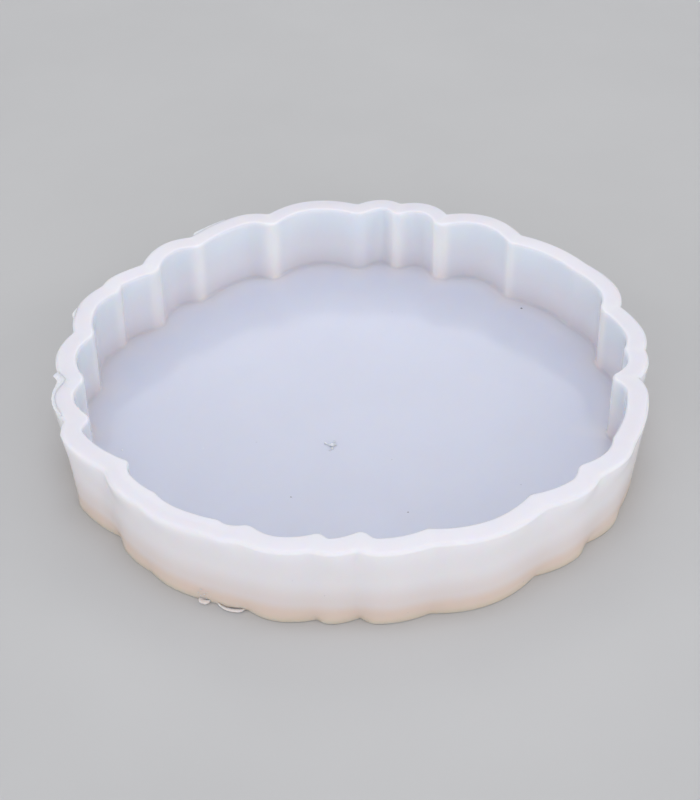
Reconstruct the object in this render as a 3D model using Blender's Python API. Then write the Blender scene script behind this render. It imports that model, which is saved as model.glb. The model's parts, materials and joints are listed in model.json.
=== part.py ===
"""Silicone casting mould for a geode coaster.

The mould is one soft tray: a flat floor inside a scalloped wall with a flat rim. The
wall's lobes bulge outwards and meet at ribs, which stand into the cavity and leave
notches outside. Three torn skins of moulding flash hang on the rim and the foot.

The wall is drawn once, as the line where its inner face meets the rim. Every other edge
is a line parallel to that one, so the wall keeps its thickness all the way round: ribs
stay round on the cavity side, and notches stay sharp on the outside.
"""

import math

import bmesh
import bpy
from mathutils import Vector

MM = 0.001

# Driving dimensions, in millimetres.
HEIGHT = 15.0
FLOOR_THICKNESS = 1.5
WALL_THICKNESS = 3.8
OUTER_DRAFT = 1.5
RIM_OUTER_RADIUS = 0.6
RIM_INNER_RADIUS = 0.4
FLOOR_FILLET = 0.6
FLASH_THICKNESS = 0.3
FOOT_FLASH_LIFT = 0.15
RIM_FLASH_DROP = 0.7

# How far the wall's outer edge is off centre from its inner edge, to the right and back.
WALL_SHIFT = (0.0, 0.4)
# How the wall's outside and inside lean: how much wider and deeper they are at the foot than
# at the rim, as a share, and how far they stand to the right and to the back of it.
OUTER_LEAN = (0.010, 0.026, 0.16, -0.90)
INNER_LEAN = (0.019, -0.009, 0.13, 0.33)

# Points on each lobe, points round each rib, and how far apart the latter stay at a notch.
LOBE_POINTS = 6
RIB_POINTS = 5
NOTCH_STEP = 0.3
CURVE_STEPS = 80

# The ribs, anticlockwise from +X: each rib's angle in degrees, its distance from the middle
# and its radius in millimetres, then the lobe that follows it: how far its crest stands out
# from the straight line between its two ribs, and where along that line the crest is.
RIBS = (
    (14.5, 47.2, 3.2, 2.31, 0.43),
    (29.6, 49.4, 6.0, 1.46, 0.51),
    (48.0, 46.8, 2.0, 4.55, 0.50),
    (67.7, 44.3, 2.0, 3.78, 0.53),
    (79.4, 46.4, 1.8, 2.79, 0.34),
    (88.3, 45.6, 3.5, 4.45, 0.52),
    (112.0, 44.9, 1.8, 3.41, 0.28),
    (133.2, 45.9, 2.2, 2.80, 0.40),
    (147.3, 45.6, 3.0, 1.39, 0.80),
    (158.1, 48.3, 2.6, 2.61, 0.44),
    (175.2, 47.5, 2.6, 2.60, 0.47),
    (190.8, 47.5, 2.6, 2.60, 0.44),
    (203.7, 47.8, 2.0, 2.97, 0.17),
    (219.5, 46.9, 1.2, 1.29, 0.32),
    (229.7, 48.3, 2.0, 1.02, 0.40),
    (244.0, 47.6, 2.0, 0.74, 0.41),
    (249.6, 46.6, 2.0, 1.84, 0.43),
    (263.2, 45.7, 1.6, 1.47, 0.20),
    (271.3, 44.8, 1.6, 1.95, 0.22),
    (283.2, 45.9, 2.0, 2.32, 0.51),
    (305.5, 46.1, 2.0, 1.69, 0.69),
    (318.5, 46.9, 2.0, 1.26, 0.58),
    (329.8, 48.5, 2.0, 3.03, 0.76),
    (349.0, 44.6, 1.4, 1.79, 0.55),
    (359.3, 48.1, 1.4, 1.88, 0.39),
)

# The torn skins of flash, each as its corners: (angle, how far outside the wall's edge). They
# stand clear of the wall that they were torn from.
FOOT_FLASH = {
    "foot_flash_left": (
        (241.6, 0.40), (242.1, 1.00), (243.4, 0.95), (244.0, 0.40), (242.8, 0.35),
    ),
    "foot_flash_right": (
        (246.2, 0.40), (247.3, 0.85), (248.7, 0.95), (249.7, 0.95), (249.7, 0.40),
        (248.0, 0.35),
    ),
}
RIM_FLASH = ((188.2, 0.40), (188.5, 1.10), (188.9, 1.35), (189.5, 1.05), (189.7, 0.40), (188.9, 0.35))


def polar(angle_degrees, radius):
    angle = math.radians(angle_degrees)
    return Vector((radius * math.cos(angle), radius * math.sin(angle)))


def blend(values, place):
    """The value at a place between two neighbours of a list."""
    i = min(int(place), len(values) - 2)
    return values[i].lerp(values[i + 1], place - i)


class Lobe:
    """One lobe of the wall: two parabolas that meet at its crest, and their outward normals."""

    def __init__(self, start, end, bulge, crest):
        along = end - start
        outward = Vector((along.y, -along.x)).normalized()
        self.points = []
        self.normals = []
        for i in range(CURVE_STEPS + 1):
            s = i / CURVE_STEPS
            side = crest if s < crest else 1 - crest
            offset = (s - crest) / side
            self.points.append(start + along * s + outward * bulge * (1 - offset * offset))
            tangent = along - outward * (2 * bulge * offset / side)
            self.normals.append(Vector((tangent.y, -tangent.x)).normalized())
        self.notch_step = NOTCH_STEP * CURVE_STEPS / along.length

    def moved_out(self, distance):
        return [p + n * distance for p, n in zip(self.points, self.normals)]


def crossing(first, second):
    """Where the end of one line of points crosses the start of the next one."""
    for i in range(len(first) - 2, len(first) // 2, -1):
        for j in range(len(second) // 2):
            ab = first[i + 1] - first[i]
            cd = second[j + 1] - second[j]
            ac = second[j] - first[i]
            turn = ab.cross(cd)
            if turn == 0:
                continue
            u = ac.cross(cd) / turn
            v = ac.cross(ab) / turn
            if 0 <= u <= 1 and 0 <= v <= 1:
                return i + u, j + v
    raise ValueError("two neighbouring lobes don't meet")


def make_lobes():
    corners = [polar(rib[0], rib[1]) for rib in RIBS]
    return [
        Lobe(corners[i], corners[(i + 1) % len(RIBS)], RIBS[i][3], RIBS[i][4])
        for i in range(len(RIBS))
    ]


def joints_at(lobes, distance):
    """For each rib, where its two lobes cross when both are moved out by this distance, or
    by the rib's radius while that is more."""
    joints = []
    for i, rib in enumerate(RIBS):
        reach = max(distance, rib[2])
        joints.append(crossing(lobes[i - 1].moved_out(reach), lobes[i].moved_out(reach)))
    return joints


def outline(lobes, distance):
    """The closed line parallel to the wall's inner edge, this far outside it."""
    joints = joints_at(lobes, distance)
    half = RIB_POINTS // 2
    margins = [0 if distance < rib[2] else half for rib in RIBS]
    line = []
    for i, lobe in enumerate(lobes):
        before = lobes[i - 1]
        end_before, start = joints[i]
        moved = lobe.moved_out(distance)
        radius = RIBS[i][2]
        if distance < radius:
            centre = blend(lobe.points, start) + blend(lobe.normals, start) * radius
            first = blend(before.normals, end_before)
            last = blend(lobe.normals, start)
            for k in range(RIB_POINTS):
                facing = first.lerp(last, k / (RIB_POINTS - 1)).normalized()
                line.append(centre - facing * (radius - distance))
        else:
            past = before.moved_out(distance)
            line += [blend(past, end_before + k * before.notch_step) for k in range(-half, 0)]
            line += [blend(moved, start + k * lobe.notch_step) for k in range(half + 1)]
        after = (i + 1) % len(lobes)
        stop = joints[after][0] - margins[after] * lobe.notch_step
        start += margins[i] * lobe.notch_step
        for k in range(1, LOBE_POINTS + 1):
            line.append(blend(moved, start + (stop - start) * k / (LOBE_POINTS + 1)))
    return line


def leaning(line, distance, height):
    """An outline where the moulding's lean puts it at a height."""
    wide, deep, right, back = INNER_LEAN if distance < WALL_THICKNESS / 2 else OUTER_LEAN
    fall = 1 - height / HEIGHT
    share = max(0, distance) / WALL_THICKNESS
    move = Vector((WALL_SHIFT[0] * share + right * fall, WALL_SHIFT[1] * share + back * fall))
    return [Vector((p.x * (1 + wide * fall), p.y * (1 + deep * fall))) + move for p in line]


def middle_of(line):
    """The middle of the smallest upright box round a line."""
    xs = [p.x for p in line]
    ys = [p.y for p in line]
    return Vector(((min(xs) + max(xs)) / 2, (min(ys) + max(ys)) / 2))


def edge_radius(line, angle):
    """How far a closed line is from the middle in the direction of an angle."""
    ray = polar(angle, 1)
    far = 0
    for k, p in enumerate(line):
        along = line[(k + 1) % len(line)] - p
        turn = ray.cross(along)
        if turn == 0:
            continue
        share = p.cross(ray) / turn
        if 0 <= share <= 1:
            far = max(far, p.cross(along) / turn)
    return far


def quarter_round(radius, steps):
    """Offsets (across, down) along a quarter circle that rounds an edge, from top to side."""
    for k in range(steps + 1):
        angle = math.pi / 2 * k / steps
        yield radius * (1 - math.sin(angle)), radius * (1 - math.cos(angle))


def wall_section():
    """The wall's cross-section, as (distance out, height), from the foot round to the floor."""
    section = [(WALL_THICKNESS - OUTER_DRAFT, 0)]
    for across, down in reversed(list(quarter_round(RIM_OUTER_RADIUS, 2))):
        section.append((WALL_THICKNESS - across, HEIGHT - down))
    for across, down in quarter_round(RIM_INNER_RADIUS, 1):
        section.append((across, HEIGHT - down))
    for across, up in reversed(list(quarter_round(FLOOR_FILLET, 2))):
        section.append((-across, FLOOR_THICKNESS + up))
    return section


def rubber(name, colour):
    material = bpy.data.materials.new(name)
    material.use_nodes = True
    shader = material.node_tree.nodes["Principled BSDF"]
    shader.inputs["Base Color"].default_value = (*colour, 1)
    shader.inputs["Roughness"].default_value = 0.35
    shader.inputs["Metallic"].default_value = 0
    shader.inputs["Subsurface Weight"].default_value = 0.6
    shader.inputs["Subsurface Scale"].default_value = 4 * MM
    return material


def add_object(name, rings, material):
    """A closed solid: neighbouring rings of points are joined, and the two end rings filled."""
    shape = bmesh.new()
    rows = [[shape.verts.new(p * MM) for p in ring] for ring in rings]
    count = len(rows[0])
    for low, high in zip(rows, rows[1:]):
        for k in range(count):
            after = (k + 1) % count
            shape.faces.new((low[k], low[after], high[after], high[k]))
    shape.faces.new(list(reversed(rows[0])))
    shape.faces.new(rows[-1])
    bmesh.ops.recalc_face_normals(shape, faces=shape.faces)
    mesh = bpy.data.meshes.new(name)
    shape.to_mesh(mesh)
    shape.free()
    mesh.shade_smooth()
    mesh.set_sharp_from_angle(angle=math.radians(35))
    mesh.materials.append(material)
    made = bpy.data.objects.new(name, mesh)
    bpy.context.scene.collection.objects.link(made)
    return made


def raised(points, height):
    return [Vector((p.x, p.y, height)) for p in points]


def add_tray(lobes, middle):
    rings = []
    for distance, height in wall_section():
        line = leaning(outline(lobes, distance), distance, height)
        rings.append(raised([p - middle for p in line], height))
    return add_object("mould_body", rings, rubber("silicone", (0.86, 0.87, 0.92)))


def add_flash(name, corners, edge, low, middle):
    """A flat torn skin: its corners as (angle, distance outside the edge), and the height of
    its underside."""
    line = [
        polar(angle, edge_radius(edge, angle) + outside) - middle for angle, outside in corners
    ]
    rings = [raised(line, low), raised(line, low + FLASH_THICKNESS)]
    return add_object(name, rings, rubber(name + "_silicone", (0.85, 0.85, 0.89)))


def main():
    for old in list(bpy.data.objects):
        bpy.data.objects.remove(old)
    lobes = make_lobes()
    rim = leaning(outline(lobes, WALL_THICKNESS), WALL_THICKNESS, HEIGHT)
    distance = WALL_THICKNESS - OUTER_DRAFT
    foot = leaning(outline(lobes, distance), distance, 0)
    middle = middle_of(rim + foot)
    add_tray(lobes, middle)
    for name, corners in FOOT_FLASH.items():
        add_flash(name, corners, foot, FOOT_FLASH_LIFT, middle)
    add_flash("rim_flash_tag", RIM_FLASH, rim, HEIGHT - RIM_FLASH_DROP, middle)


main()
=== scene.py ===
"""The looks of the silicone casting mould: its fine surface, torn flash and milky rubber.

Lengths in the shape functions are millimetres, as on a drawing of the mould. They become
metres where a mesh is made.
"""

import json
import math

import bpy
from mathutils import Matrix, Vector, noise
from mathutils.geometry import tessellate_polygon


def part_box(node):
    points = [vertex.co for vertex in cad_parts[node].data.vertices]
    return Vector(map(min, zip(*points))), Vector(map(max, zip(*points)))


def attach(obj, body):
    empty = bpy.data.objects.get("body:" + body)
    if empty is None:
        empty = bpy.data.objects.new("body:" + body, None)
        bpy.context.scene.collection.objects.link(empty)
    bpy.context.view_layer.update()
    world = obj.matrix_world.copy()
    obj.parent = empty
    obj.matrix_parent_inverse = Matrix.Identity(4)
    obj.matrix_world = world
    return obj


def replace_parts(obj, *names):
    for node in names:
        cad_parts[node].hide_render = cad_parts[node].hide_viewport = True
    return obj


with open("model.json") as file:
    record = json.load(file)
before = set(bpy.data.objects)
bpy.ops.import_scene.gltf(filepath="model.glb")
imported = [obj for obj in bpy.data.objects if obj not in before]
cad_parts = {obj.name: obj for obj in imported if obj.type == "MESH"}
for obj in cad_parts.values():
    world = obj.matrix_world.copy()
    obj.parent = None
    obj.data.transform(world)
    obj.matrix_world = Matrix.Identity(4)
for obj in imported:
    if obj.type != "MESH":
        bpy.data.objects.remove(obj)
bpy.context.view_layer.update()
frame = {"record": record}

MM = 0.001
SKY = 0.79

# The mould, measured on the frame.
BODY_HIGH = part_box("mould_body")[1]
HEIGHT = BODY_HIGH.z / MM
FLOOR_THICKNESS = next(
    mount["pos_m"][2] for mount in frame["record"]["mounts"] if mount["name"] == "cavity_floor"
) / MM

# The wall's section, in millimetres.
WALL_THICKNESS = 3.8
OUTER_DRAFT = 1.5
RIM_OUTER_RADIUS = 0.6
RIM_INNER_RADIUS = 0.4
FLOOR_FILLET = 0.6
FOOT_RADIUS = 0.2
# How far the wall's outer edge is off centre from its inner edge, to the right and back.
WALL_SHIFT = (0.0, 0.4)
# How the wall's outside and inside lean: how much wider and deeper they are at the foot than
# at the rim, as a share, and how far they stand to the right and to the back of it.
OUTER_LEAN = (0.010, 0.026, 0.16, -0.90)
INNER_LEAN = (0.019, -0.009, 0.13, 0.33)
# How far a notch is rounded off at the foot, and how high it takes to get as soft as above.
NOTCH_SOFT_FOOT = 0.15
NOTCH_SOFT_RISE = 2.0
# How much softer still it gets below the rim, and over what drop, from 1 mm down.
NOTCH_SWELL = 2.2
NOTCH_SWELL_DROP = 3
# How far the rim's outer edge sags where it is worn soft, and between which angles.
RIM_SAG = 0.45
SAG_FROM, SAG_TO, SAG_FADE = 203.0, 252.0, 10.0
# Where across the rim the sag starts, and how far down the wall it reaches.
SAG_START = 1.4
SAG_DROP = 3

# From this distance outwards the rim's lines are rounded off, fully so this much further out.
RIM_SOFT_FROM = 0.9
RIM_SOFT_OVER = 2.2
# How far along the lobes a rib's painted light reaches.
RIB_LIGHT_FADE = 1.4
# How far from the wall the floor takes its painted shade, darker and bluer than the wall: (distance,
# share).
FLOOR_SHADE_EDGE = (
    (0.3, 0.12), (0.8, 0.28), (1.5, 0.45), (2.4, 0.6), (3.6, 0.75), (5.0, 0.9), (7.0, 1.0),
)

# How finely the surface is cut.
LOBE_POINTS = 24
RIB_POINTS = 9
NOTCH_STEP = 0.12
CURVE_STEPS = 120
WALL_STEPS = 14
RIM_STEPS = 13
FLOOR_STEPS = 16
UNDERSIDE_STEPS = 7
FOOT_STEPS = 3
OUTER_ROUND_STEPS = 7
INNER_ROUND_STEPS = 4
FILLET_STEPS = 7

# The ribs, anticlockwise from +X. For each: its angle in degrees, its distance from the
# middle, its radius, how much painted light whitens it (0 to 1), and how far its notch is
# rounded off at the rim.
# Then the lobe that follows it: how far its crest stands out from the straight line
# between its two ribs, and where along that line the crest is.
RIBS = (
    (14.5, 47.2, 3.2, 1.00, 0.35, 2.31, 0.43),
    (29.6, 49.4, 6.0, 0.00, 1.20, 1.46, 0.51),
    (48.0, 46.8, 2.0, 0.70, 0.40, 4.55, 0.50),
    (67.7, 44.3, 2.0, 1.00, 0.30, 3.78, 0.53),
    (79.4, 46.4, 1.8, 0.55, 0.60, 2.79, 0.34),
    (88.3, 45.6, 3.5, 0.00, 0.80, 4.45, 0.52),
    (112.0, 44.9, 1.8, 1.00, 0.70, 3.41, 0.28),
    (133.2, 45.9, 2.2, 0.80, 0.60, 2.80, 0.40),
    (147.3, 45.6, 3.0, 0.70, 0.80, 1.39, 0.80),
    (158.1, 48.3, 2.6, 0.55, 0.80, 2.61, 0.44),
    (175.2, 47.5, 2.6, 0.45, 0.60, 2.60, 0.47),
    (190.8, 47.5, 2.6, 0.45, 0.60, 2.60, 0.44),
    (203.7, 47.8, 2.0, 0.30, 0.80, 2.97, 0.17),
    (219.5, 46.9, 1.2, 0.30, 1.20, 1.29, 0.32),
    (229.7, 48.3, 2.0, 0.30, 1.50, 1.02, 0.40),
    (244.0, 47.6, 2.0, 0.30, 2.00, 0.74, 0.41),
    (249.6, 46.6, 2.0, 0.30, 1.50, 1.84, 0.43),
    (263.2, 45.7, 1.6, 0.30, 1.10, 1.47, 0.20),
    (271.3, 44.8, 1.6, 0.30, 0.90, 1.95, 0.22),
    (283.2, 45.9, 2.0, 0.30, 1.10, 2.32, 0.51),
    (305.5, 46.1, 2.0, 0.30, 1.50, 1.69, 0.69),
    (318.5, 46.9, 2.0, 0.30, 1.50, 1.26, 0.58),
    (329.8, 48.5, 2.0, 0.30, 1.50, 3.03, 0.76),
    (349.0, 44.6, 1.4, 0.80, 0.30, 1.79, 0.55),
    (359.3, 48.1, 1.4, 0.80, 0.30, 1.88, 0.39),
)

# Torn flash on the rim's outer edge and on the foot. Each is a row of stations: (angle, how
# far it laps over the edge, how far it stands out beyond it). A negative lap is a gap.
RIM_LIP = (
    (187.6, 0.20, 0.0), (188.3, 0.35, 0.75), (188.75, 0.45, 1.15), (189.4, 0.65, 0.90),
    (190.2, 0.97, 0.50), (191.1, 1.16, 0.22), (192.0, 1.05, 0.12), (192.8, 0.85, 0.10),
    (194.2, 0.60, 0.10), (195.7, 0.50, 0.15), (197.4, 0.50, 0.20), (199.4, 0.50, 0.12),
    (200.8, 0.40, 0.0),
)
REAR_LIP = (
    (121.5, 0.30, 0.0), (124.0, 0.40, 0.10), (126.6, 0.40, 0.20), (128.6, 0.40, 0.35),
    (130.3, 0.40, 0.50), (131.0, 0.30, 0.0),
)
RIM_NUB = (
    (166.6, 0.40, 0.0), (167.3, 0.40, 0.15), (168.5, 0.40, 0.40), (169.3, 0.40, 0.25),
    (169.9, 0.30, 0.0),
)
FOOT_FLASH = {
    "foot_flash_left": (
        (241.6, 0.30, 0.0), (241.75, 0.30, 0.40), (242.1, 0.30, 0.75), (242.7, 0.30, 0.88),
        (243.3, 0.30, 0.83), (243.65, 0.30, 0.50), (243.8, 0.30, 0.0),
    ),
    "foot_flash_right": (
        (245.0, 0.30, 0.0), (245.7, 0.25, 0.20), (246.4, 0.12, 0.34), (247.3, 0.10, 0.48),
        (248.4, 0.10, 0.58), (249.4, 0.12, 0.62), (249.9, 0.20, 0.42), (250.1, 0.25, 0.0),
    ),
}

# Crumbs of rubber, as (angle, radius, height, size): a torn nib on the floor, and a scar on
# the wall over the left foot flash.
FLOOR_NIB = (
    (243.6, 12.19, 1.55, 0.26), (245.5, 12.28, 1.50, 0.20), (247.7, 12.39, 1.55, 0.26),
    (250.0, 12.20, 1.65, 0.42), (252.1, 12.03, 1.55, 0.26), (251.1, 12.98, 1.55, 0.24),
    (249.6, 11.23, 1.50, 0.20), (250.4, 13.64, 1.48, 0.16),
)
WALL_SCAR = (
    (242.1, 0, 1.5, 0.20), (242.7, 0, 2.3, 0.26), (243.3, 0, 1.5, 0.30), (243.9, 0, 2.1, 0.18),
    (242.5, 0, 0.9, 0.24), (243.6, 0, 0.8, 0.22), (244.4, 0, 1.3, 0.16),
)

# Dust, as (angle, radius, height, size). A radius of 0 puts it on the outside of the wall.
DARK_DUST = (
    (135.7, 48.9, 14.85, 0.16), (41.7, 46.4, 1.50, 0.22), (245.7, 26.95, 1.50, 0.13),
    (287.2, 29.54, 1.50, 0.12), (264.8, 0, 6.0, 0.12), (259.5, 0, 9.0, 0.07),
    (279.0, 0, 1.9, 0.08), (301.0, 0, 1.2, 0.10), (210.6, 20.76, 1.50, 0.07),
    (322.8, 35.77, 1.50, 0.07), (75.3, 30.69, 1.50, 0.07), (292.8, 16.51, 1.50, 0.06),
)
PALE_DUST = (
    (196.8, 43.58, 1.50, 0.17), (204.0, 29.86, 1.50, 0.09), (177.0, 35.15, 1.50, 0.08),
    (168.6, 24.19, 1.50, 0.07), (259.8, 33.54, 1.50, 0.08), (21.6, 20.29, 1.50, 0.07),
    (332.5, 11.76, 1.50, 0.06), (119.2, 22.60, 1.50, 0.06),
)


# ---------------------------------------------------------------- the wall's line


def polar(angle_degrees, radius):
    angle = math.radians(angle_degrees)
    return Vector((radius * math.cos(angle), radius * math.sin(angle)))


def blend(values, place):
    """The value at a place between two neighbours of a list."""
    i = min(int(place), len(values) - 2)
    return values[i].lerp(values[i + 1], place - i)


class Lobe:
    """One lobe of the wall: two parabolas that meet at its crest, and their outward normals."""

    def __init__(self, start, end, bulge, crest):
        along = end - start
        outward = Vector((along.y, -along.x)).normalized()
        self.points = []
        self.normals = []
        for i in range(CURVE_STEPS + 1):
            s = i / CURVE_STEPS
            side = crest if s < crest else 1 - crest
            offset = (s - crest) / side
            self.points.append(start + along * s + outward * bulge * (1 - offset * offset))
            tangent = along - outward * (2 * bulge * offset / side)
            self.normals.append(Vector((tangent.y, -tangent.x)).normalized())
        self.length = along.length
        self.notch_step = NOTCH_STEP * CURVE_STEPS / self.length

    def moved_out(self, distance):
        return [p + n * distance for p, n in zip(self.points, self.normals)]


def crossing(first, second):
    """Where the end of one line of points crosses the start of the next one."""
    for i in range(len(first) - 2, len(first) // 2, -1):
        for j in range(len(second) // 2):
            ab = first[i + 1] - first[i]
            cd = second[j + 1] - second[j]
            ac = second[j] - first[i]
            turn = ab.cross(cd)
            if turn == 0:
                continue
            u = ac.cross(cd) / turn
            v = ac.cross(ab) / turn
            if 0 <= u <= 1 and 0 <= v <= 1:
                return i + u, j + v
    raise ValueError("two neighbouring lobes don't meet")


def make_lobes():
    corners = [polar(rib[0], rib[1]) for rib in RIBS]
    return [
        Lobe(corners[i], corners[(i + 1) % len(RIBS)], RIBS[i][5], RIBS[i][6])
        for i in range(len(RIBS))
    ]


def joints_at(lobes, distance):
    """For each rib, where its two lobes cross when both are moved out by this distance, or
    by the rib's radius while that is more."""
    joints = []
    for i, rib in enumerate(RIBS):
        reach = max(distance, rib[2])
        joints.append(crossing(lobes[i - 1].moved_out(reach), lobes[i].moved_out(reach)))
    return joints


def outline(lobes, distance):
    """The closed line parallel to the wall's inner edge, this far outside it."""
    joints = joints_at(lobes, distance)
    half = RIB_POINTS // 2
    # A notch's points spread out as the line leaves the rib's round, so that rings don't fold.
    spreads = [min(1, max(0, distance - rib[2])) for rib in RIBS]
    line = []
    for i, lobe in enumerate(lobes):
        before = lobes[i - 1]
        end_before, start = joints[i]
        moved = lobe.moved_out(distance)
        radius = RIBS[i][2]
        if distance < radius:
            centre = blend(lobe.points, start) + blend(lobe.normals, start) * radius
            first = blend(before.normals, end_before)
            last = blend(lobe.normals, start)
            for k in range(RIB_POINTS):
                facing = first.lerp(last, k / (RIB_POINTS - 1)).normalized()
                line.append(centre - facing * (radius - distance))
        else:
            past = before.moved_out(distance)
            step_before, step = before.notch_step * spreads[i], lobe.notch_step * spreads[i]
            line += [blend(past, end_before + k * step_before) for k in range(-half, 0)]
            line += [blend(moved, start + k * step) for k in range(half + 1)]
        after = (i + 1) % len(lobes)
        stop = joints[after][0] - half * spreads[after] * lobe.notch_step
        start += half * spreads[i] * lobe.notch_step
        for k in range(1, LOBE_POINTS + 1):
            line.append(blend(moved, start + (stop - start) * k / (LOBE_POINTS + 1)))
    return line


def leaning(line, distance, height):
    """An outline where the moulding's lean puts it at a height."""
    wide, deep, right, back = INNER_LEAN if distance < WALL_THICKNESS / 2 else OUTER_LEAN
    fall = 1 - height / HEIGHT
    share = max(0, distance) / WALL_THICKNESS
    move = Vector((WALL_SHIFT[0] * share + right * fall, WALL_SHIFT[1] * share + back * fall))
    return [Vector((p.x * (1 + wide * fall), p.y * (1 + deep * fall))) + move for p in line]


def middle_of(line):
    """The middle of the smallest upright box round a line."""
    xs = [p.x for p in line]
    ys = [p.y for p in line]
    return Vector(((min(xs) + max(xs)) / 2, (min(ys) + max(ys)) / 2))


def edge_radius(line, angle):
    """How far a closed line is from the middle in the direction of an angle."""
    ray = polar(angle, 1)
    far = 0
    for k, p in enumerate(line):
        along = line[(k + 1) % len(line)] - p
        turn = ray.cross(along)
        if turn == 0:
            continue
        share = p.cross(ray) / turn
        if 0 <= share <= 1:
            far = max(far, p.cross(along) / turn)
    return far


def softened(line, widths):
    """A closed line whose corners are rounded off, each point over about its own width."""
    count = len(line)
    steps = [(line[(k + 1) % count] - line[k]).length for k in range(count)]
    made = []
    for i, width in enumerate(widths):
        total = Vector((0, 0))
        weights = 0
        for way in (-1, 1):
            k = i
            travelled = 0
            while travelled < 2.5 * width:
                size = (steps[k - 1] + steps[k]) / 2
                weight = math.exp(-((travelled / width) ** 2)) * size
                if k == i:
                    weight /= 2
                total += line[k] * weight
                weights += weight
                travelled += steps[k] if way == 1 else steps[k - 1]
                k = (k + way) % count
        made.append(total / weights)
    return made


def notch_widths(height):
    """For each point of an outline, how far a notch is rounded off there at this height.

    The notches are crisp at the foot, nearly vanish half way up, and show again at the rim."""
    rise = min(1, height / NOTCH_SOFT_RISE) ** 0.8
    swell = 1 + NOTCH_SWELL * min(1, max(0, (HEIGHT - 1 - height) / NOTCH_SWELL_DROP))
    at_ribs = [NOTCH_SOFT_FOOT + (rib[4] * swell - NOTCH_SOFT_FOOT) * rise for rib in RIBS]
    widths = []
    for i, here in enumerate(at_ribs):
        ahead = at_ribs[(i + 1) % len(RIBS)]
        widths += [here] * RIB_POINTS
        widths += [here + (ahead - here) * k / LOBE_POINTS for k in range(LOBE_POINTS)]
    return widths


def rib_light_share(lobes):
    """For each point of an outline, how much painted light whitens its rib there: 0 on the lobes."""
    def fade(distance):
        return 0.8 * max(0, 1 - distance / RIB_LIGHT_FADE) ** 1.5

    rib_light_shares = []
    half = RIB_POINTS // 2
    for i, rib in enumerate(RIBS):
        white, ahead = rib[3], RIBS[(i + 1) % len(RIBS)][3]
        rib_light_shares += [white * (1 - 0.2 * abs(k - half) / half) for k in range(RIB_POINTS)]
        for k in range(1, LOBE_POINTS + 1):
            gone = lobes[i].length * k / (LOBE_POINTS + 1)
            rib_light_shares.append(max(white * fade(gone), ahead * fade(lobes[i].length - gone)))
    return rib_light_shares


# ---------------------------------------------------------------- the tray


def quarter_round(radius, steps):
    """Offsets (across, down) along a quarter circle that rounds an edge, from top to side."""
    for k in range(steps + 1):
        angle = math.pi / 2 * k / steps
        yield radius * (1 - math.sin(angle)), radius * (1 - math.cos(angle))


def between(low, high, steps):
    """Evenly spaced values between two ends, without the ends."""
    return [low + (high - low) * k / steps for k in range(1, steps)]


def wall_section():
    """The wall's section from foot to floor: (distance out, height, outer share, depth).

    The outer share is 1 on the outside and 0 on the rim and inside. The depth is 0 at the
    rim and 1 at the floor, on the inside."""
    foot = WALL_THICKNESS - OUTER_DRAFT
    rows = []
    for k in range(FOOT_STEPS + 1):
        angle = math.pi / 2 * k / FOOT_STEPS
        rows.append((
            foot - FOOT_RADIUS * (1 - math.sin(angle)), FOOT_RADIUS * (1 - math.cos(angle)), 1, 0,
        ))
    top = HEIGHT - RIM_OUTER_RADIUS
    for height in between(FOOT_RADIUS, top, WALL_STEPS):
        rise = (height - FOOT_RADIUS) / (top - FOOT_RADIUS)
        rows.append((foot + OUTER_DRAFT * rise, height, 1, 0))
    for across, down in reversed(list(quarter_round(RIM_OUTER_RADIUS, OUTER_ROUND_STEPS))):
        rows.append((WALL_THICKNESS - across, HEIGHT - down, down / RIM_OUTER_RADIUS, 0))
    for distance in between(WALL_THICKNESS - RIM_OUTER_RADIUS, RIM_INNER_RADIUS, RIM_STEPS):
        rows.append((distance, HEIGHT, 0, 0))
    for across, down in quarter_round(RIM_INNER_RADIUS, INNER_ROUND_STEPS):
        rows.append((across, HEIGHT - down, 0, 0.03 * down / RIM_INNER_RADIUS))
    high = HEIGHT - RIM_INNER_RADIUS
    low = FLOOR_THICKNESS + FLOOR_FILLET
    for height in between(high, low, WALL_STEPS):
        fall = (high - height) / (high - low)
        rows.append((0, height, 0, 0.03 + 0.87 * fall))
    for across, up in reversed(list(quarter_round(FLOOR_FILLET, FILLET_STEPS))):
        rows.append((-across, FLOOR_THICKNESS + up, 0, 1 - 0.1 * up / FLOOR_FILLET))
    return rows


def ripple(point, size, seed):
    """Smooth noise between about -1 and 1, whose bumps are about this size in millimetres."""
    return noise.noise(Vector((point.x / size + seed, point.y / size, point.z / size)))


def lap_at(lip, angle):
    """How far a lip laps over the edge at an angle, or None past its ends."""
    for (low, lap_low, _), (high, lap_high, _) in zip(lip, lip[1:]):
        if low <= angle <= high:
            return lap_low + (lap_high - lap_low) * (angle - low) / (high - low)
    return None


def uneven(point, middle, rim_edge):
    """A point of the tray moved by the slight unevenness of a moulded surface."""
    flat = Vector((point.x, point.y))
    moved = point.copy()
    if point.z > HEIGHT - RIM_OUTER_RADIUS:
        moved.z -= 0.02 * (1 + ripple(point, 7, 11))
        table = flat + middle
        angle = math.degrees(math.atan2(table.y, table.x)) % 360
        lap = lap_at(RIM_LIP, angle)
        if lap:
            under = (table.length - edge_radius(rim_edge, angle) + lap - 0.05) / 0.25
            moved.z -= 0.10 * min(1, max(0, under))
    elif point.z > 0.5 and flat.length > 0.8 * BODY_HIGH.y / MM:
        inward = 0.03 * (1 + ripple(point, 9, 5))
        moved.x -= flat.normalized().x * inward
        moved.y -= flat.normalized().y * inward
    elif point.z > 0.5:
        moved.z += 0.012 * ripple(point, 14, 3)
    return moved


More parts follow.
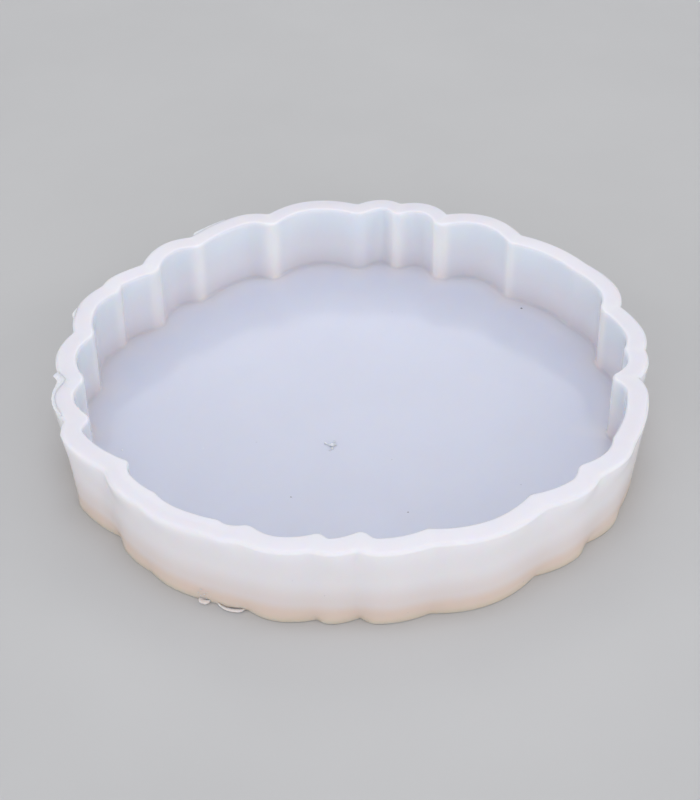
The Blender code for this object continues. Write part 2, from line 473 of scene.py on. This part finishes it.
def sag(point, distance, middle):
    """How far the worn rim sags at a point that stands this far outside the inner edge."""
    table = Vector((point.x, point.y)) + middle
    angle = math.degrees(math.atan2(table.y, table.x)) % 360
    worn = min(1, max(0, (angle - SAG_FROM) / SAG_FADE), max(0, (SAG_TO - angle) / SAG_FADE))
    across = max(0, (distance - SAG_START) / (WALL_THICKNESS - SAG_START))
    down = max(0, 1 - (HEIGHT - point.z) / SAG_DROP)
    return RIM_SAG * worn * across ** 2 * down


def add_mesh(name, points, faces, material, smooth_below=40):
    mesh = bpy.data.meshes.new(name)
    mesh.from_pydata([p * MM for p in points], [], faces)
    mesh.validate()
    mesh.shade_smooth()
    mesh.set_sharp_from_angle(angle=math.radians(smooth_below))
    mesh.materials.append(material)
    made = bpy.data.objects.new(name, mesh)
    bpy.context.scene.collection.objects.link(made)
    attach(made, "root")
    return made


def set_attribute(made, name, values):
    attribute = made.data.attributes.new(name, "FLOAT", "POINT")
    attribute.data.foreach_set("value", values)


def add_tray(lobes, middle, rim_edge, material):
    section = wall_section()
    rib_light_shares = rib_light_share(lobes)
    points, outer, depth, rib, floor = [], [], [], [], []

    def add_ring(line, height, ring_outer, ring_depth, ring_rib_light, ring_floor_shade):
        for p, share in zip(line, rib_light_shares):
            points.append(Vector((p.x, p.y, height)))
            outer.append(ring_outer)
            depth.append(ring_depth)
            rib.append(share * ring_rib_light)
            floor.append(ring_floor_shade)

    foot = softened(outline(lobes, section[0][0]), notch_widths(0))
    foot = [p - middle for p in leaning(foot, section[0][0], 0)]
    for k in range(1, UNDERSIDE_STEPS):
        add_ring([p * (k / UNDERSIDE_STEPS) for p in foot], 0, 1, 0, 0, 0)
    for distance, height, ring_outer, ring_depth in section:
        line = outline(lobes, distance)
        if distance > RIM_SOFT_FROM:
            share = min(1, (distance - RIM_SOFT_FROM) / RIM_SOFT_OVER)
            line = softened(line, [share * width for width in notch_widths(height)])
        line = [p - middle for p in leaning(line, distance, height)]
        # The ribs' painted light fades out in the floor fillet.
        add_ring(line, height, ring_outer, ring_depth, 1 - max(0, ring_depth - 0.95) / 0.05, 0)
        for k in range(len(points) - len(line), len(points)):
            points[k].z -= sag(points[k], distance, middle)
    for inward, share in FLOOR_SHADE_EDGE:
        edge = [p.normalized() * (p.length - inward) for p in line]
        add_ring(edge, FLOOR_THICKNESS, 0, 1, 0, share)
    mean = sum(p.length for p in edge) / len(edge)
    for k in range(1, FLOOR_STEPS + 1):
        inward = 1 - (k / (FLOOR_STEPS + 0.3)) ** 0.8
        towards_round = min(1, 3 * k / FLOOR_STEPS)
        ring = []
        for p in edge:
            radius = p.length + (mean - p.length) * towards_round
            ring.append(p.normalized() * radius * inward)
        add_ring(ring, FLOOR_THICKNESS, 0, 1, 0, 1)

    points = [uneven(p, middle, rim_edge) for p in points]
    count = len(edge)
    rings = len(points) // count
    faces = [list(reversed(range(count)))]
    for low in range(rings - 1):
        for k in range(count):
            after = (k + 1) % count
            faces.append((
                low * count + k, low * count + after,
                (low + 1) * count + after, (low + 1) * count + k,
            ))
    faces.append([(rings - 1) * count + k for k in range(count)])
    made = add_mesh("mould_surface", points, faces, material)
    set_attribute(made, "outer", outer)
    set_attribute(made, "depth", depth)
    # The rib attribute masks the ribs' painted light.
    set_attribute(made, "rib", rib)
    # The floor attribute masks the floor's painted shade.
    set_attribute(made, "floor", floor)
    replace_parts(made, "mould_body")
    return made


# ---------------------------------------------------------------- flash, crumbs and dust


def spun(line, turns):
    """A closed line with its corners cut this many times."""
    for _ in range(turns):
        cut = []
        for p, q in zip(line, line[1:] + line[:1]):
            cut += [p.lerp(q, 0.25), p.lerp(q, 0.75)]
        line = cut
    return line


def facing_out(line):
    """The outward normals of a closed line, whichever way it runs."""
    count = len(line)
    area = sum(line[k - 1].cross(line[k]) for k in range(count))
    sense = 1 if area > 0 else -1
    normals = []
    for k in range(count):
        along = line[(k + 1) % count] - line[k - 1]
        normals.append(Vector((along.y, -along.x)).normalized() * sense)
    return normals


def filled(line):
    """Triangles, as corner indices, that fill a closed line. They run anticlockwise."""
    triangles = []
    for a, b, c in tessellate_polygon([[p.to_3d() for p in line]]):
        turn = (line[b] - line[a]).cross(line[c] - line[a])
        triangles.append((a, b, c) if turn > 0 else (a, c, b))
    return triangles


def add_skin(name, line, low, thickness, material):
    """A torn skin with a rounded, ragged edge."""
    line = spun(line, 2)
    normals = facing_out(line)
    points = []
    rings = 6
    for k in range(rings):
        angle = math.pi * k / (rings - 1)
        inset = thickness / 2 * (1 - math.sin(angle))
        height = low + thickness / 2 * (1 - math.cos(angle))
        for p, normal in zip(line, normals):
            q = p - normal * inset
            place = Vector((q.x, q.y, height))
            ragged = 0.06 * ripple(place, 0.5, 21)
            points.append(Vector((
                q.x + normal.x * ragged, q.y + normal.y * ragged,
                height + 0.03 * ripple(place, 0.7, 8),
            )))
    count = len(line)
    faces = []
    for a, b, c in filled(line):
        faces += [(c, b, a), tuple((rings - 1) * count + k for k in (a, b, c))]
    for ring in range(rings - 1):
        for k in range(count):
            after = (k + 1) % count
            faces.append((
                ring * count + k, ring * count + after,
                (ring + 1) * count + after, (ring + 1) * count + k,
            ))
    return add_mesh(name, points, faces, material)


def flash_line(edge, stations, middle):
    """The outline of a piece of flash from its stations along an edge."""
    outer, inner = [], []
    for angle, lap, beyond in stations:
        radius = edge_radius(edge, angle)
        outer.append(polar(angle, radius + beyond) - middle)
        inner.append(polar(angle, radius - lap) - middle)
    return outer + inner[::-1]


def on_wall(tray, angle, height):
    """Where a line from outside, level and straight to the middle, meets the tray."""
    start = polar(angle, 70).to_3d() * MM
    start.z = height * MM
    met, place, _, _ = tray.ray_cast(start, Vector((-start.x, -start.y, 0)).normalized())
    if not met:
        raise ValueError("the wall isn't where the dust is")
    return place / MM


def add_blobs(name, blobs, tray, middle, material, flat=0.6):
    """Small ragged lumps, each half sunk in the surface that it lies on."""
    points, faces = [], []
    for index, (angle, radius, height, size) in enumerate(blobs):
        if radius:
            centre = (polar(angle, radius) - middle).to_3d()
            centre.z = height
        else:
            centre = on_wall(tray, angle, height)
            centre -= Vector((centre.x, centre.y, 0)).normalized() * 0.7 * size
        first = len(points)
        rings, around = 7, 12
        for i in range(1, rings):
            tilt = math.pi * i / rings
            for k in range(around):
                turn = 2 * math.pi * k / around
                ray = Vector((
                    math.sin(tilt) * math.cos(turn), math.sin(tilt) * math.sin(turn), math.cos(tilt),
                ))
                reach = size * (1 + 0.45 * ripple(ray, 0.9, 3.7 * index + 40))
                ray.z *= flat
                points.append(centre + ray * reach)
        top = len(points)
        points.append(centre + Vector((0, 0, size * flat)))
        points.append(centre - Vector((0, 0, size * flat)))
        for k in range(around):
            after = (k + 1) % around
            faces.append((first + k, first + after, top))
            last = first + (rings - 2) * around
            faces.append((last + after, last + k, top + 1))
            for i in range(rings - 2):
                low = first + i * around
                faces.append((low + k, low + around + k, low + around + after, low + after))
    return add_mesh(name, points, faces, material, 80)


def add_flash(tray, middle, rim_edge, foot_edge, rim_rubber, rubber):
    for name, stations, low, thickness in (
        ("rim_lip", RIM_LIP, HEIGHT - 0.30, 0.24),
        ("rear_lip", REAR_LIP, HEIGHT - 0.42, 0.34),
        ("rim_nub", RIM_NUB, HEIGHT - 0.48, 0.38),
    ):
        line = flash_line(rim_edge, stations, middle)
        made = add_skin(name, line, low, thickness, rim_rubber)
        if name == "rim_lip":
            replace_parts(made, "rim_flash_tag")
    for name, stations in FOOT_FLASH.items():
        line = flash_line(foot_edge, stations, middle)
        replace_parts(add_skin(name + "_skin", line, 0.05, 0.5, rubber), name)
    add_blobs("wall_scar", WALL_SCAR, tray, middle, rubber, 0.9)


# ---------------------------------------------------------------- materials


class Nodes:
    """Builds a material's node tree: each call adds a node and links its inputs by name."""

    def __init__(self, name):
        self.material = bpy.data.materials.new(name)
        self.material.use_nodes = True
        self.tree = self.material.node_tree
        self.shader = self.tree.nodes["Principled BSDF"]

    def add(self, kind, settings=None, **inputs):
        node = self.tree.nodes.new("ShaderNode" + kind)
        for key, value in (settings or {}).items():
            setattr(node, key, value)
        for key, value in inputs.items():
            self.set(node, key.replace("_", " "), value)
        return node

    def set(self, node, key, value):
        place = int(key) if key.isdigit() else key
        if isinstance(value, bpy.types.NodeSocket):
            self.tree.links.new(value, node.inputs[place])
        else:
            node.inputs[place].default_value = value

    def attribute(self, name):
        return self.add("Attribute", {"attribute_name": name}).outputs["Fac"]

    def maths(self, operation, first, second=0.0, clamp=False):
        node = self.add("Math", {"operation": operation, "use_clamp": clamp})
        self.set(node, "0", first)
        self.set(node, "1", second)
        return node.outputs[0]

    def ramp(self, fac, stops):
        node = self.add("ValToRGB", Fac=fac)
        node.color_ramp.interpolation = "EASE"
        elements = node.color_ramp.elements
        while len(elements) < len(stops):
            elements.new(0.5)
        for element, (position, colour) in zip(elements, stops):
            element.position = position
            element.color = (*colour, 1)
        return node.outputs["Color"]

    def mix(self, fac, first, second, blend_type="MIX"):
        node = self.add("Mix", {"data_type": "RGBA", "blend_type": blend_type})
        self.set(node, "0", fac)
        self.set(node, "6", first)
        self.set(node, "7", second)
        return node.outputs[2]

    def noise(self, place, scale, detail=2.0, roughness=0.5):
        node = self.add(
            "TexNoise", Vector=place, Scale=scale, Detail=detail, Roughness=roughness
        )
        return node.outputs["Fac"]


def linear(red, green, blue):
    """A colour given as sRGB values out of 255."""
    def one(value):
        value /= 255
        return value / 12.92 if value <= 0.04045 else ((value + 0.055) / 1.055) ** 2.4

    return one(red), one(green), one(blue)


def silicone(name):
    """Milky translucent silicone, with light and shade painted into its colour: painted
    whiter on the thick ribs, darker and bluer on the thin floor, darker down the inside and
    into the fold, and warmer towards the foot, where light has come a long way through it."""
    n = Nodes(name)
    place = n.add("TexCoord").outputs["Object"]
    outer = n.attribute("outer")
    depth = n.attribute("depth")
    rib = n.attribute("rib")
    floor = n.attribute("floor")
    height = n.maths("DIVIDE", n.add("SeparateXYZ", Vector=place).outputs["Z"], HEIGHT * MM)

    cloud = n.noise(place, 60, 3, 0.6)
    # Painted shade down the inside: a darker band on the rim's inner rounding, then lighter and
    # bluer high on the wall, and darker and warmer into the fold at the floor.
    inner_painted_shade = n.ramp(depth, (
        (0.0, linear(235, 234, 243)),
        (0.012, linear(226, 228, 239)),
        (0.035, linear(232, 237, 246)),
        (0.15, linear(233, 239, 248)),
        (0.55, linear(234, 235, 242)),
        (1.0, linear(226, 223, 230)),
    ))
    # Painted light: the thick ribs are painted whiter, standing in for light through thick rubber.
    rib_painted_light = n.ramp(depth, (
        (0.0, linear(238, 238, 246)),
        (0.03, linear(243, 245, 252)),
        (0.4, linear(250, 249, 251)),
        (1.0, linear(242, 235, 236)),
    ))
    # Painted shade and the warmth of light come through the rubber: the outside is painted darker
    # and warmer towards the foot.
    outer_painted_shade = n.ramp(height, (
        (0.0, linear(229, 209, 190)),
        (0.12, linear(229, 211, 200)),
        (0.28, linear(231, 223, 222)),
        (0.60, linear(238, 236, 240)),
        (1.0, linear(240, 240, 247)),
    ))
    # Painted shade: the thin floor is painted darker and bluer, where light passes through it.
    floor_painted_shade = linear(213, 216, 232)
    colour = n.mix(rib, inner_painted_shade, rib_painted_light)
    colour = n.mix(floor, colour, (*floor_painted_shade, 1))
    colour = n.mix(outer, colour, outer_painted_shade)
    mottle = n.ramp(cloud, ((0.3, (0.985, 0.983, 0.980)), (0.7, (1.0, 1.0, 1.0))))
    colour = n.mix(1.0, colour, mottle, "MULTIPLY")
    n.set(n.shader, "Base Color", colour)

    n.set(n.shader, "Subsurface Weight", 1.0)
    n.set(n.shader, "Subsurface Radius", (1.0, 0.78, 0.62))
    scatter = n.maths("SUBTRACT", 2.2 * MM, n.maths("MULTIPLY", rib, 1.4 * MM))
    n.set(n.shader, "Subsurface Scale", scatter)
    n.set(n.shader, "IOR", 1.41)

    smudge = n.noise(place, 140, 4, 0.65)
    roughness = n.maths("MULTIPLY", smudge, 0.08)
    roughness = n.maths("ADD", roughness, 0.10)
    roughness = n.maths("ADD", roughness, n.maths("MULTIPLY", outer, 0.10))
    n.set(n.shader, "Roughness", roughness)

    fine = n.noise(place, 900, 3, 0.5)
    broad = n.noise(place, 110, 2, 0.4)
    relief = n.maths("ADD", n.maths("MULTIPLY", fine, 0.25), broad)
    bump = n.add("Bump", Strength=0.25, Distance=0.05 * MM, Height=relief)
    n.set(n.shader, "Normal", bump.outputs["Normal"])
    return n.material


def loose_rubber(name, colour):
    """Thin torn silicone: the same rubber, without the tray's shading by depth."""
    n = Nodes(name)
    place = n.add("TexCoord").outputs["Object"]
    shade = n.ramp(n.noise(place, 2500, 3, 0.6), (
        (0.3, tuple(0.93 * c for c in colour)),
        (0.7, colour),
    ))
    n.set(n.shader, "Base Color", shade)
    n.set(n.shader, "Subsurface Weight", 0.8)
    n.set(n.shader, "Subsurface Radius", (1.0, 0.8, 0.65))
    n.set(n.shader, "Subsurface Scale", 0.6 * MM)
    n.set(n.shader, "IOR", 1.41)
    roughness = n.maths("ADD", n.maths("MULTIPLY", n.noise(place, 1800, 2), 0.2), 0.2)
    n.set(n.shader, "Roughness", roughness)
    return n.material


def dust(name, colour):
    n = Nodes(name)
    place = n.add("TexCoord").outputs["Object"]
    shade = n.ramp(n.noise(place, 6000, 2), (
        (0.3, tuple(0.8 * c for c in colour)),
        (0.7, colour),
    ))
    n.set(n.shader, "Base Color", shade)
    n.set(n.shader, "Roughness", 0.85)
    return n.material


def table_top():
    n = Nodes("table_top")
    place = n.add("TexCoord").outputs["Object"]
    tone = n.ramp(n.noise(place, 9, 4, 0.6), (
        (0.3, linear(196, 196, 197)),
        (0.7, linear(200, 200, 201)),
    ))
    n.set(n.shader, "Base Color", tone)
    n.set(n.shader, "Roughness", 0.75)
    return n.material


# ---------------------------------------------------------------- stage, light and camera


def add_floor():
    mesh = bpy.data.meshes.new("table")
    half = 3.0
    corners = [(-half, -half, 0), (half, -half, 0), (half, half, 0), (-half, half, 0)]
    mesh.from_pydata([Vector(c) for c in corners], [], [(0, 1, 2, 3)])
    mesh.materials.append(table_top())
    made = bpy.data.objects.new("table", mesh)
    made.location.z = -0.00005
    bpy.context.scene.collection.objects.link(made)


def add_softbox(name, place, size, watts, colour):
    """An area light that faces the mould."""
    data = bpy.data.lights.new(name, "AREA")
    data.shape = "RECTANGLE"
    data.size, data.size_y = size
    data.energy = watts
    data.color = colour
    made = bpy.data.objects.new(name, data)
    made.location = place
    made.rotation_euler = (-Vector(place)).to_track_quat("-Z", "Y").to_euler()
    bpy.context.scene.collection.objects.link(made)


def add_world():
    """An even pale sky, which is darker low down behind the mould."""
    world = bpy.data.worlds.new("studio")
    world.use_nodes = True
    tree = world.node_tree
    direction = tree.nodes.new("ShaderNodeTexCoord")
    axes = tree.nodes.new("ShaderNodeSeparateXYZ")
    tree.links.new(direction.outputs["Generated"], axes.inputs[0])
    low = tree.nodes.new("ShaderNodeMapRange")
    low.interpolation_type = "SMOOTHSTEP"
    behind = tree.nodes.new("ShaderNodeMapRange")
    behind.interpolation_type = "SMOOTHSTEP"
    for node, axis, values in ((low, "Z", (0.60, 0.48, 0, 1)), (behind, "Y", (0.1, 0.5, 0, 1))):
        tree.links.new(axes.outputs[axis], node.inputs["Value"])
        for key, value in zip(("From Min", "From Max", "To Min", "To Max"), values):
            node.inputs[key].default_value = value
    both = tree.nodes.new("ShaderNodeMath")
    both.operation = "MULTIPLY"
    tree.links.new(low.outputs["Result"], both.inputs[0])
    tree.links.new(behind.outputs["Result"], both.inputs[1])
    strength = tree.nodes.new("ShaderNodeMapRange")
    tree.links.new(both.outputs[0], strength.inputs["Value"])
    strength.inputs["To Min"].default_value = SKY
    strength.inputs["To Max"].default_value = 0.08 * SKY
    background = tree.nodes["Background"]
    background.inputs["Color"].default_value = (0.97, 0.98, 1.0, 1)
    tree.links.new(strength.outputs["Result"], background.inputs["Strength"])
    bpy.context.scene.world = world


def add_lights():
    add_softbox("overhead", (0.0, 0.10, 0.95), (0.5, 0.16), 0.8, (1.0, 0.99, 0.98))
    add_softbox("behind", (0.0, 1.3, 1.2), (0.86, 0.72), 2.6, (0.97, 0.985, 1.0))
    add_softbox("left", (-1.4, 0.0, 0.75), (0.5, 0.5), 1.1, (1.0, 0.99, 0.985))
    add_softbox("right", (1.4, 0.0, 0.75), (0.5, 0.5), 1.9, (1.0, 0.99, 0.985))
    add_softbox("front", (0.0, -1.5, 0.45), (3.0, 0.8), 6.0, (1.0, 0.985, 0.975))
    add_world()


def add_camera(middle):
    """A camera above the front edge, looking down at the mould."""
    elevation = math.radians(39.84)
    roll = math.radians(-0.12)
    target = (Vector((-0.99, 3.04)) - middle).to_3d() * MM
    forward = Vector((0, math.cos(elevation), -math.sin(elevation)))
    right = Vector((1, 0, 0))
    up = right.cross(forward)
    x = right * math.cos(roll) + up * math.sin(roll)
    y = up * math.cos(roll) - right * math.sin(roll)
    data = bpy.data.cameras.new("camera")
    data.lens = 51.66
    data.sensor_width = 36
    data.clip_start = 0.01
    camera = bpy.data.objects.new("camera", data)
    place = Matrix((x, y, -forward)).transposed().to_4x4()
    place.translation = target - forward * 218.0 * MM
    camera.matrix_world = place
    bpy.context.scene.collection.objects.link(camera)
    bpy.context.scene.camera = camera


def main():
    lobes = make_lobes()
    rim = outline(lobes, WALL_THICKNESS)
    rim_edge = softened(rim, notch_widths(HEIGHT - RIM_OUTER_RADIUS))
    rim_edge = leaning(rim_edge, WALL_THICKNESS, HEIGHT)
    distance = WALL_THICKNESS - OUTER_DRAFT
    foot = outline(lobes, distance)
    foot_edge = leaning(softened(foot, notch_widths(0)), distance, 0)
    middle = middle_of(leaning(rim, WALL_THICKNESS, HEIGHT) + leaning(foot, distance, 0))
    tray = add_tray(lobes, middle, rim_edge, silicone("milky_silicone_painted_light"))
    rim_rubber = loose_rubber("rim_skin", linear(240, 240, 247))
    # The torn flash and scar at the foot: the same rubber as the rim skin, painted warmer and darker
    # for the shade there.
    torn_rubber_painted_shade = loose_rubber("torn_silicone_painted_shade", linear(232, 224, 222))
    add_flash(tray, middle, rim_edge, foot_edge, rim_rubber, torn_rubber_painted_shade)
    nib = loose_rubber("nib_silicone", linear(250, 250, 254))
    add_blobs("floor_nib", FLOOR_NIB, tray, middle, nib)
    add_blobs("dark_dust", DARK_DUST, tray, middle, dust("dark_lint", linear(140, 140, 150)), 0.4)
    add_blobs("pale_dust", PALE_DUST, tray, middle, dust("pale_lint", linear(244, 244, 248)), 0.4)
    add_floor()
    add_lights()
    add_camera(middle)
    bpy.context.scene.view_settings.view_transform = "Standard"


main()
